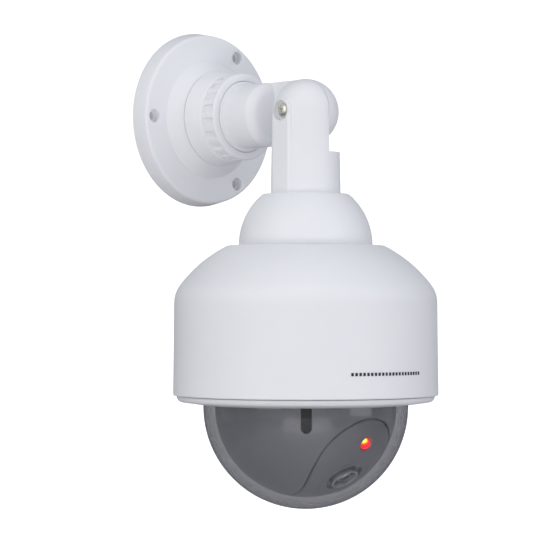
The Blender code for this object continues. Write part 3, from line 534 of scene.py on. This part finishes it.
def makeNeck():
    v = neckValues
    cap, base, inner = v["capRadius"], v["capBase"], v["capRadius"] - v["wall"]
    startAngle = degrees(asin((v["capTop"] - 0.9 - base) / cap))
    roofAngle = degrees(asin((v["capRoof"] - base) / inner))
    outline = [(0, v["ballRadius"])] + arcPoints(0, 0, v["ballRadius"], 90, 0, 24)[1:]
    outline += [(v["stemTop"], v["stepZ"]), (v["stemFoot"] - 0.02, v["capTop"] + 0.5),
                (v["stemFoot"] + 0.15, v["capTop"] + 0.1), (v["stemFoot"] + 0.5, v["capTop"]),
                (v["capFlat"], v["capTop"]), (v["capFlat"] + 0.5, v["capTop"] - 0.2)]
    outline += arcPoints(0, base, cap, startAngle, 0, 22)
    outline += arcPoints(0, base, inner, 0, roofAngle, 12)
    outline += [(v["stemBore"], v["capRoof"]), (v["stemBore"], v["stemRoof"]), (0, v["stemRoof"])]
    neck = turnPiece("neckCasting", outline, 128)

    # raised rib: a slab with a round top, its long edges softened before it joins the stem
    rib = stadium((-9.0, 0, 0), (-v["ribFace"], 0, 0), v["ribHalf"], v["capTop"] - 3.0, 64)
    pick(rib, "FACE", lambda face: face.normal.x < -0.9)
    bpy.ops.mesh.bevel(offset=v["ribRound"] * mm, segments=6, affect="EDGES")
    bpy.ops.object.mode_set(mode="OBJECT")
    weld(neck, rib)
    for angle in v["screwAngles"]:
        x, y = onCircle(v["screwCircle"], angle)
        weld(neck, bar((x, y, base), (x, y, v["bossTop"]), v["bossRadius"], 32))
    away = 30.0
    carve(neck, block((-halfGap, -away, v["stepZ"]), (away, away, away)),
          bar((-v["washerRoom"], 0, 0), (1, 0, 0), v["washerRadius"], 64),
          bar((-away, 0, 0), (1, 0, 0), v["holeRadius"], 32),
          bar((-away, 0, 0), (-v["sinkFloor"], 0, 0), v["sinkRadius"], 64))
    for angle in v["screwAngles"]:
        x, y = onCircle(v["screwCircle"], angle)
        carve(neck, bar((x, y, base - 1), (x, y, v["pilotTop"]), v["pilotRadius"], 24))
    roundEdges(neck, 0.5, 3, 45)
    place(neck, at=(0, pivot.y, 0))
    return finishPiece(neck, "head", whiteAbs, "white_abs", "neck")


makeNeck()


# ---------- housing ----------

print("housing")
housingValues = {"top": -65.3, "flatRadius": 38.0, "hubHole": 8.0, "shoulderRadius": 66.1,
                 "shoulderSlope": 27.0, "shoulderRound": 15.0, "radius": 64.25, "lipRadius": 64.75,
                 "lipZ": -138.3, "wall": 2.4, "postCircle": 51.0, "postAngles": (30, 150, 270),
                 "postFoot": -127.7, "postTop": -78.2, "postRadius": 4.0, "pilotRadius": 1.6,
                 "pilotTop": -115.0, "lugAngles": (90, 210, 330), "lugInner": 59.6}


# the rounded shoulder between the flat top and the drum, moved in by the wall thickness for the inside
def shoulderPoints(inset, bigSteps, smallSteps):
    v = housingValues
    slope = radians(v["shoulderSlope"])
    bigR = v["flatRadius"] + 0.6 - v["shoulderRadius"] * sin(slope)
    bigZ = v["top"] - 0.2 - v["shoulderRadius"] * cos(slope)
    smallR = v["radius"] - v["shoulderRound"]
    smallZ = bigZ + sqrt((v["shoulderRadius"] - v["shoulderRound"]) ** 2 - (smallR - bigR) ** 2)
    meet = degrees(atan2(smallZ - bigZ, smallR - bigR))
    points = arcPoints(bigR, bigZ, v["shoulderRadius"] - inset, 90 - v["shoulderSlope"], meet, bigSteps)
    return points[:-1] + arcPoints(smallR, smallZ, v["shoulderRound"] - inset, meet, 0, smallSteps)


# a piece of a ring, cut off square at both ends
def ringPiece(inner, outer, middle, half, low, high, sides=120):
    piece = turnPiece("ringPiece", [(inner, low), (outer, low), (outer, high), (inner, high)], sides)
    for side in (-1, 1):
        edge = radians(middle + side * half)
        pick(piece, "FACE", lambda face: True)
        bpy.ops.mesh.bisect(plane_co=(0, 0, 0), plane_no=(-side * sin(edge), side * cos(edge), 0),
                            use_fill=True, clear_outer=True)
        bpy.ops.object.mode_set(mode="OBJECT")
    return piece


def makeHousing():
    v = housingValues
    top, lip, wall = v["top"], v["lipRadius"], v["wall"]
    outline = [(v["hubHole"], top), (v["flatRadius"] - 0.3, top)] + shoulderPoints(0.0, 18, 14)
    # the drum widens a little towards its lip
    outline += [(v["radius"] + 0.1, -108.0), (lip - 0.12, -130.0), (lip, v["lipZ"] + 0.5),
                (lip - 0.35, v["lipZ"]), (lip - wall, v["lipZ"])]
    outline += shoulderPoints(wall, 12, 8)[::-1]
    outline += [(v["flatRadius"] - 0.6, top - wall), (v["hubHole"], top - wall)]
    shell = turnPiece("drumHousing", outline, 160)
    for angle in v["postAngles"]:
        x, y = onCircle(v["postCircle"], angle)
        weld(shell, bar((x, y, v["postFoot"]), (x, y, v["postTop"]), v["postRadius"], 24))
    for angle in v["lugAngles"]:
        weld(shell, ringPiece(v["lugInner"], lip - wall + 0.6, angle, 11, -137.0, -134.7))
    for angle in v["postAngles"]:
        x, y = onCircle(v["postCircle"], angle)
        carve(shell, bar((x, y, v["postFoot"] - 1.3), (x, y, v["pilotTop"]), v["pilotRadius"], 24))
    place(shell, at=(0, pivot.y, 0))
    return finishPiece(shell, "head", whiteAbs, "white_abs", "housing")


makeHousing()


# ---------- printed line on the housing ----------

print("printed line")
lineValues = {"from": -25.6, "to": 12.2, "count": 21, "middleZ": -126.6, "height": 1.5, "share": 0.62,
              "inner": 64.65, "thick": 0.05}


def makePrintedLine():
    v = lineValues
    step = (v["to"] - v["from"]) / v["count"]
    low, high = v["middleZ"] - v["height"] / 2, v["middleZ"] + v["height"] / 2
    line = None
    for i in range(v["count"]):
        middle = v["from"] + step * (i + 0.5) - 90
        dash = ringPiece(v["inner"], v["inner"] + v["thick"], middle, step * v["share"] / 2, low, high, 180)
        if line is None:
            line = dash
            line.name = line.data.name = "printedLine"
        else:
            onlyThis(line)
            dash.select_set(True)
            bpy.ops.object.join()
    place(line, at=(0, pivot.y, 0))
    return finishPiece(line, "head", padInk, "dark_plastic")


makePrintedLine()


# ---------- retaining ring and dome ----------

print("retaining ring and dome")
ringValues = {"spigotInner": 55.9, "spigot": 58.9, "spigotTop": -131.3, "top": -138.6, "radius": 62.95,
              "round": 2.6, "bottom": -142.75, "bore": 50.3, "ledge": -140.2, "lugOuter": 61.4,
              "lugLow": -134.3, "lugHigh": -131.8, "snapInner": 54.7, "snapLow": -136.7, "snapHigh": -135.2}
domeValues = {"radius": 50.0, "wall": 2.0, "flange": 55.4, "flangeLow": -138.6, "top": -137.0}


def makeRetainingRing():
    v = ringValues
    outline = [(v["spigotInner"], v["spigotTop"]), (v["spigot"], v["spigotTop"]), (v["spigot"], v["top"]),
               (v["radius"] - 0.3, v["top"])]
    outline += arcPoints(v["radius"] - v["round"], v["top"] - 0.3, v["round"], 0, -82, 12)
    outline += [(v["bore"] + 1.1, v["bottom"] + 0.02), (v["bore"] + 0.4, v["bottom"] + 0.12),
                (v["bore"], v["bottom"] + 0.5), (v["bore"], v["ledge"]), (v["spigotInner"], v["ledge"])]
    ring = turnPiece("retainingRing", outline, 160)
    for angle in housingValues["lugAngles"]:
        weld(ring, ringPiece(v["spigot"] - 0.6, v["lugOuter"], angle, 10, v["lugLow"], v["lugHigh"]),
             ringPiece(v["snapInner"], v["spigotInner"] + 0.6, angle + 60, 6, v["snapLow"], v["snapHigh"]))
    place(ring, at=(0, pivot.y, 0))
    return finishPiece(ring, "dome_ring", whiteAbs, "white_abs", "retaining_ring")


def makeDome():
    v = domeValues
    centre = ballCentre.z
    inner = v["radius"] - v["wall"]
    outline = [(0, v["top"]), (v["flange"], v["top"]), (v["flange"], v["flangeLow"]),
               (v["radius"], v["flangeLow"])]
    outline += arcPoints(0, centre, v["radius"], 0, -90, 48)[:-1] + [(0, centre - v["radius"])]
    dome = turnPiece("domeCover", outline, 160)
    hollow = [(0, v["top"] + 1), (inner, v["top"] + 1)] + arcPoints(0, centre, inner, 0, -90, 44)[:-1]
    hollow += [(0, centre - inner)]
    carve(dome, turnPiece("domeHollow", hollow, 160))
    place(dome, at=(0, pivot.y, 0))
    return finishPiece(dome, "dome_ring", smokedAcrylic, "smoked_dome", "dome_cover")


makeRetainingRing()
makeDome()


# ---------- ball and its camera panel ----------

print("ball and panel")
ballValues = {"radius": 44.3, "wall": 2.0, "top": 12.96, "flangeLow": 11.2, "flange": 47.2,
              "slotAngles": (44, 136, 224, 316), "slotHalf": 2.6, "slotDrop": 11.2, "rimWide": 1.7,
              "rimDeep": 0.45, "screwX": 39.6, "bossRadius": 3.6, "pilotRadius": 1.6}
# sizes of the black strips that paint the shade seen through the ball's slots
slotShadeValues = {"inner": 39.1, "outer": 39.7, "halfAngle": 7.0, "low": -12.4, "high": 12.9}
panelValues = {"tilt": 48.0, "half": 22.0, "rise": 22.5, "middle": 7.0, "footHalf": 12.0, "foot": -36.0,
               "gap": 0.42, "lensTilt": 52.0, "ledTilt": 22.5, "dishRadius": 60.0, "dishFloor": 41.2,
               "wellRadius": 9.4, "wellFloor": 40.2, "coneRadius": 4.4, "coneTop": 45.5, "coneFoot": 42.3,
               "backFrom": 35.5, "backTo": 42.4, "backRadius": 13.6, "pegX": 9.0, "pegY": -2.0,
               "pegFrom": 31.9, "pegTo": 42.0, "pegRadius": 1.8}
lensValues = {"radius": 6.9, "bore": 5.5, "back": 30.0, "front": 43.4, "glassTop": 43.0, "glassCurve": 9.0}
ledValues = {"radius": 2.5, "flange": 2.9, "flangeFrom": 36.6, "flangeTo": 37.6, "tip": 45.2,
             "leadHalf": 1.27, "leadRadius": 0.3, "leadFrom": 31.9, "glow": (-1.4, -1.0, 1.7)}


def makeBallShell(name):
    v = ballValues
    radius, inner = v["radius"], v["radius"] - v["wall"]
    outline = [(0, v["top"]), (v["flange"], v["top"]), (v["flange"], v["flangeLow"]),
               (radius, v["flangeLow"])]
    outline += arcPoints(0, 0, radius, 0, -90, 40)[:-1] + [(0, -radius)]
    shell = turnPiece(name, outline, 160)
    hollow = [(0, v["top"] + 1), (inner, v["top"] + 1)] + arcPoints(0, 0, inner, 0, -90, 36)[:-1]
    hollow += [(0, -inner)]
    return carve(shell, turnPiece("hollow", hollow, 160))


# egg-shaped plug, wide end up, pulled out row by row; grow moves its side outwards
def makePanelPlug(grow, low=5.0, high=60.0):
    v = panelValues
    rows = []
    sideSteps, topSteps = 14, 14
    foot, middle = v["foot"] - grow, v["middle"]
    for i in range(sideSteps + 1):
        share = 1 - i / sideSteps
        half = v["footHalf"] + grow + (v["half"] - v["footHalf"]) * (1 + cos(pi * share)) / 2
        rows.append((half, middle + (foot - middle) * share))
    for i in range(1, topSteps + 1):
        angle = radians(89.0 * i / topSteps)
        rows.append(((v["half"] + grow) * cos(angle), middle + (v["rise"] + grow) * sin(angle)))
    startFresh()
    half, height = rows[0]
    bpy.ops.mesh.primitive_plane_add(size=1, location=(0, 0, 0))
    plug = bpy.context.object
    plug.scale = (2 * half * mm, 1.0 * mm, 1)
    plug.location = (0, (height + 0.5) * mm, low * mm)
    bpy.ops.object.transform_apply(location=True, rotation=True, scale=True)
    pick(plug, "EDGE",
         lambda edge: all(plug.data.vertices[i].co.y > (height + 0.9) * mm for i in edge.vertices))
    height += 1.0
    for nextHalf, nextHeight in rows[1:]:
        bpy.ops.mesh.extrude_region_move()
        bpy.ops.transform.resize(value=(nextHalf / half, 1, 1), center_override=(0, 0, 0))
        bpy.ops.transform.translate(value=(0, (nextHeight - height) * mm, 0))
        half, height = nextHalf, nextHeight
    bpy.ops.mesh.select_all(action="SELECT")
    bpy.ops.mesh.extrude_region_move(TRANSFORM_OT_translate={"value": (0, 0, (high - low) * mm)})
    bpy.ops.mesh.select_all(action="SELECT")
    bpy.ops.mesh.normals_make_consistent(inside=False)
    bpy.ops.object.mode_set(mode="OBJECT")
    return plug


def facing(tilt):
    return (pi / 2 + radians(tilt), 0, 0)


# upright slot cutter that looks out at an angle round from the front
def makeSlotTool(half, low, high, near, far, angle):
    return place(stadium((0, -near, low), (0, -far, low), half, high), turn=(0, 0, radians(angle)))


def makeBall():
    v = ballValues
    ball = makeBallShell("ballLiner")
    for side in (-1, 1):
        x = side * v["screwX"]
        weld(ball, bar((x, 0, 1.0), (x, 0, v["top"] - 0.05), v["bossRadius"], 28))
    for angle in v["slotAngles"]:
        low = -v["slotDrop"] + v["slotHalf"]
        rim = v["slotHalf"] + v["rimWide"]
        carve(ball, makeSlotTool(rim, low, 7.5, v["radius"] - v["rimDeep"], 52.0, angle),
              makeSlotTool(v["slotHalf"], low, 7.0, 30.0, 52.0, angle))
    carve(ball, place(makePanelPlug(panelValues["gap"]), turn=facing(panelValues["tilt"])))
    for side in (-1, 1):
        x = side * v["screwX"]
        carve(ball, bar((x, 0, 3.0), (x, 0, 20.0), v["pilotRadius"], 24))
    roundEdges(ball, 0.25, 2, 50)
    place(ball, at=ballCentre)
    return finishPiece(ball, "head", satinGrey, "ball_grey", "liner")


def makePanel():
    v = panelValues
    panel = makeBallShell("cameraPanel")
    combine(panel, "INTERSECT", [place(makePanelPlug(-v["gap"]), turn=facing(v["tilt"]))])
    lensTurn, ledTurn = facing(v["lensTilt"]), facing(v["ledTilt"])
    backing = bar((0, 0, v["backFrom"]), (0, 0, v["backTo"]), v["backRadius"], 64)
    weld(panel, place(backing, turn=lensTurn))
    for side in (-1, 1):
        x, y = side * v["pegX"], v["pegY"]
        weld(panel, place(bar((x, y, v["pegFrom"]), (x, y, v["pegTo"]), v["pegRadius"], 24), turn=ledTurn))
    startFresh()
    bpy.ops.mesh.primitive_uv_sphere_add(segments=128, ring_count=128, radius=v["dishRadius"] * mm,
                                         location=(0, 0, (v["dishFloor"] + v["dishRadius"]) * mm))
    dish = bpy.context.object
    bpy.ops.object.transform_apply(location=True, rotation=True, scale=True)
    ledHole = ledValues["radius"] + 0.3
    # the lamp looks out of a small flared mouth, and the lens stands in a round well
    mouth = turnPiece("mouth", [(0, v["coneFoot"]), (ledHole + 0.02, v["coneFoot"]),
                                (v["coneRadius"], v["coneTop"]), (0, v["coneTop"])], 60)
    carve(panel, place(dish, turn=lensTurn),
          place(bar((0, 0, v["wellFloor"]), (0, 0, 50), v["wellRadius"], 72), turn=lensTurn),
          place(bar((0, 0, 30), (0, 0, 51), lensValues["radius"] + 0.3, 60), turn=lensTurn),
          place(mouth, turn=ledTurn), place(bar((0, 0, 38), (0, 0, 51), ledHole, 44), turn=ledTurn))
    roundEdges(panel, 0.3, 2, 45)
    place(panel, at=ballCentre)
    return finishPiece(panel, "head", satinGrey, "ball_grey", "camera_panel", angle=24)


def makeLed():
    v = ledValues
    radius = v["radius"]
    outline = [(0, v["flangeFrom"]), (v["flange"], v["flangeFrom"]), (v["flange"], v["flangeTo"] - 0.1),
               (v["flange"] - 0.1, v["flangeTo"]), (radius, v["flangeTo"]), (radius, v["tip"] - radius - 1.0)]
    outline += arcPoints(0, v["tip"] - radius, radius, 0, 90, 14)[:-1] + [(0, v["tip"])]
    lamp = turnPiece("indicatorLamp", outline, 48)
    for side in (-1, 1):
        x = side * v["leadHalf"]
        weld(lamp, bar((x, 0, v["leadFrom"]), (x, 0, v["flangeFrom"] + 0.4), v["leadRadius"], 12))
    place(lamp, turn=facing(panelValues["ledTilt"]), at=ballCentre)
    tilt = radians(panelValues["ledTilt"])
    outwards = Vector((0, -cos(tilt), -sin(tilt)))
    hot = ballCentre + outwards * (v["tip"] - radius) + Vector(v["glow"])
    return finishPiece(lamp, "head", litEpoxy("lit_red_epoxy", tuple(hot * mm)), "red_led", "led")


def makeLens():
    v = lensValues
    radius, bore, front = v["radius"], v["bore"], v["front"]
    outline = [(bore, v["back"]), (radius, v["back"]), (radius, front - 0.6), (radius - 0.15, front - 0.2),
               (radius - 0.5, front), (bore + 0.7, front), (bore + 0.4, front - 0.15), (bore, front - 0.9)]
    barrel = turnPiece("lensBarrel", outline, 72)
    place(barrel, turn=facing(panelValues["lensTilt"]), at=ballCentre)
    finishPiece(barrel, "head", turnedAlloy, "dark_plastic", "lens_barrel")

    glassRadius = bore - 0.3
    rise = degrees(asin(glassRadius / v["glassCurve"]))
    centre = v["glassTop"] - v["glassCurve"]
    # a thick front element with a hollow back, as on a small wide-angle lens
    outline = [(0, 39.6), (2.4, 39.3), (4.2, 38.4), (glassRadius, 38.4)]
    outline += arcPoints(0, centre, v["glassCurve"], 90 - rise, 90, 14)[:-1] + [(0, v["glassTop"])]
    glass = turnPiece("lensGlass", outline, 72)
    place(glass, turn=facing(panelValues["lensTilt"]), at=ballCentre)
    finishPiece(glass, "head", opticGlass, "lens_glass", "lens_glass")

    # iris behind the glass: a stepped black cup
    outline = [(1.3, 33.0), (5.3, 33.0), (5.3, 37.4), (4.6, 37.4), (4.2, 36.4), (3.0, 36.0), (2.6, 35.2),
               (1.3, 34.6)]
    iris = turnPiece("lensIris", outline, 72)
    place(iris, turn=facing(panelValues["lensTilt"]), at=ballCentre)
    finishPiece(iris, "head", blackAbs, "dark_plastic")


# black strips behind the slots, painted shade: a dark sheet standing in for the unlit inside of the ball seen
# through the slots, so that no light shows through the ball
def makeSlotShadeStrips():
    v = slotShadeValues
    for number, angle in enumerate(ballValues["slotAngles"], 1):
        strip = ringPiece(v["inner"], v["outer"], angle - 90, v["halfAngle"], v["low"], v["high"])
        strip.name = strip.data.name = "slotShadeStrip%d" % number
        place(strip, at=ballCentre)
        finishPiece(strip, "head", blackAbs, "dark_plastic", "slot_baffle_%d" % number)


makeBall()
makeSlotShadeStrips()
makePanel()
makeLed()
makeLens()


# ---------- finishes of the parts that stay as the CAD made them ----------

print("hidden parts")
keptFinishes = {
    "neck_screw": brightZinc, "chassis_screw": brightZinc, "liner_screw": brightZinc,
    "chassis_plate": satinGrey, "circuit_board": solderResist, "flasher_chip": blackAbs,
    "capacitor": cellFilm, "battery_box": blackAbs,
    "battery_door": blackAbs, "battery_1": cellFilm, "battery_2": cellFilm, "spring_contact": brightZinc,
    "contact_plate": brightZinc, "wire_red": redPvc, "wire_black": blackPvc, "switch_body": brightZinc,
    "switch_slider": blackAbs, "seal_ring": sealFoam, "friction_washer": naturalNylon}
for name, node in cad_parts.items():
    for start, material in keptFinishes.items():
        if name.startswith(start):
            node.data.materials.clear()
            node.data.materials.append(material)


# ---------- floor, backdrop and lamps ----------

print("studio")
studio = {"floorZ": -0.72, "back": 0.9, "front": -2.4, "side": 2.6, "height": 2.4, "sweep": 0.5}


# white paper, lit apart from the object: bright to look at, straight or through the dome, but it throws
# back only a dim grey and shows darker still as a mirror image
def makePaper():
    material = newMaterial("lit_white_paper")
    tree = material.node_tree
    spot = addNode(tree, "ShaderNodeTexCoord").outputs["Object"]
    cloud = addNode(tree, "ShaderNodeTexNoise", {"Scale": 5.0, "Detail": 3.0}, {"Vector": spot})
    tint = addNode(tree, "ShaderNodeMix", {"data_type": "RGBA", 6: colour("#F8F8F8"), 7: colour("#FBFBFB")},
                   {0: cloud.outputs["Fac"]})
    seen = addNode(tree, "ShaderNodeBsdfDiffuse", None, {"Color": tint.outputs[2]})
    glow = addNode(tree, "ShaderNodeEmission", {"Strength": 0.6}, {"Color": tint.outputs[2]})
    bright = addNode(tree, "ShaderNodeAddShader", None,
                     {0: seen.outputs["BSDF"], 1: glow.outputs["Emission"]})
    dim = addNode(tree, "ShaderNodeBsdfDiffuse", {"Color": colour("#BCB9BC")})
    mirrored = addNode(tree, "ShaderNodeBsdfDiffuse", {"Color": colour("#6A6C74")})
    ray = addNode(tree, "ShaderNodeLightPath")
    soft = addNode(tree, "ShaderNodeMixShader", None,
                   {0: ray.outputs["Is Glossy Ray"], 1: dim.outputs["BSDF"], 2: mirrored.outputs["BSDF"]})
    direct = addNode(tree, "ShaderNodeMath", {"operation": "MAXIMUM"},
                     {0: ray.outputs["Is Camera Ray"], 1: ray.outputs["Is Transmission Ray"]})
    mix = addNode(tree, "ShaderNodeMixShader", None,
                  {0: direct.outputs["Value"], 1: soft.outputs["Shader"], 2: bright.outputs["Shader"]})
    addNode(tree, "ShaderNodeOutputMaterial", None, {"Surface": mix.outputs["Shader"]})
    return material


def makeSweep():
    v = studio
    startFresh()
    bpy.ops.mesh.primitive_plane_add(size=1, location=(0, 0, 0))
    sweep = bpy.context.object
    sweep.name = sweep.data.name = "paperSweep"
    sweep.scale = (2 * v["side"], v["back"] - v["sweep"] - v["front"], 1)
    sweep.location = (0, (v["back"] - v["sweep"] + v["front"]) / 2, v["floorZ"])
    bpy.ops.object.transform_apply(location=True, rotation=True, scale=True)
    pick(sweep, "EDGE", lambda edge: all(sweep.data.vertices[i].co.y > v["back"] - v["sweep"] - 0.01
                                         for i in edge.vertices))
    y, z = v["back"] - v["sweep"], v["floorZ"]
    for i in range(1, 13):
        angle = radians(7.5 * i)
        nextY = v["back"] - v["sweep"] + v["sweep"] * sin(angle)
        nextZ = v["floorZ"] + v["sweep"] * (1 - cos(angle))
        bpy.ops.mesh.extrude_region_move(TRANSFORM_OT_translate={"value": (0, nextY - y, nextZ - z)})
        y, z = nextY, nextZ
    bpy.ops.mesh.extrude_region_move(TRANSFORM_OT_translate={"value": (0, 0, v["height"])})
    bpy.ops.mesh.select_all(action="SELECT")
    bpy.ops.mesh.normals_make_consistent(inside=True)
    bpy.ops.object.mode_set(mode="OBJECT")
    # the sweep stands square to the camera
    bpy.context.view_layer.objects.active = sweep
    place(sweep, turn=(0, 0, radians(-44.0)))
    bpy.ops.object.shade_smooth()
    sweep.data.materials.clear()
    sweep.data.materials.append(makePaper())


def addLamp(name, at, aim, width, height, power, tint="#FFFFFF"):
    startFresh()
    at, aim = Vector(at), Vector(aim)
    turn = (aim - at).to_track_quat("-Z", "Y").to_euler()
    bpy.ops.object.light_add(type="AREA", location=at, rotation=turn)
    lamp = bpy.context.object
    lamp.name = lamp.data.name = name
    lamp.data.shape = "RECTANGLE"
    lamp.data.size, lamp.data.size_y = width, height
    lamp.data.energy = power
    lamp.data.color = colour(tint)[:3]
    return lamp


makeSweep()
headMiddle = (0, pivot.y * mm, -0.09)
addLamp("keyLeft", (-1.5, -0.2, 0.5), headMiddle, 0.9, 1.6, 6.0)
addLamp("fillRight", (0.5, -1.5, 0.3), headMiddle, 0.8, 1.4, 4.3, "#F4F7FF")
addLamp("overhead", (-0.3, -0.5, 1.5), headMiddle, 1.6, 1.6, 3.6, "#E9F3FF")
lowFill = addLamp("lowFill", (-0.75, -0.9, -0.62), headMiddle, 1.2, 0.5, 5.2, "#FFFBFC")
lowFill.visible_glossy = False                          # lifts the underside, with no image in the dome

world = bpy.data.worlds.new("roomLight")
bpy.context.scene.world = world
world.use_nodes = True
background = world.node_tree.nodes["Background"]
background.inputs["Color"].default_value = colour("#F2F4F8")
background.inputs["Strength"].default_value = 0.59
bpy.context.scene.view_settings.view_transform = "Standard"
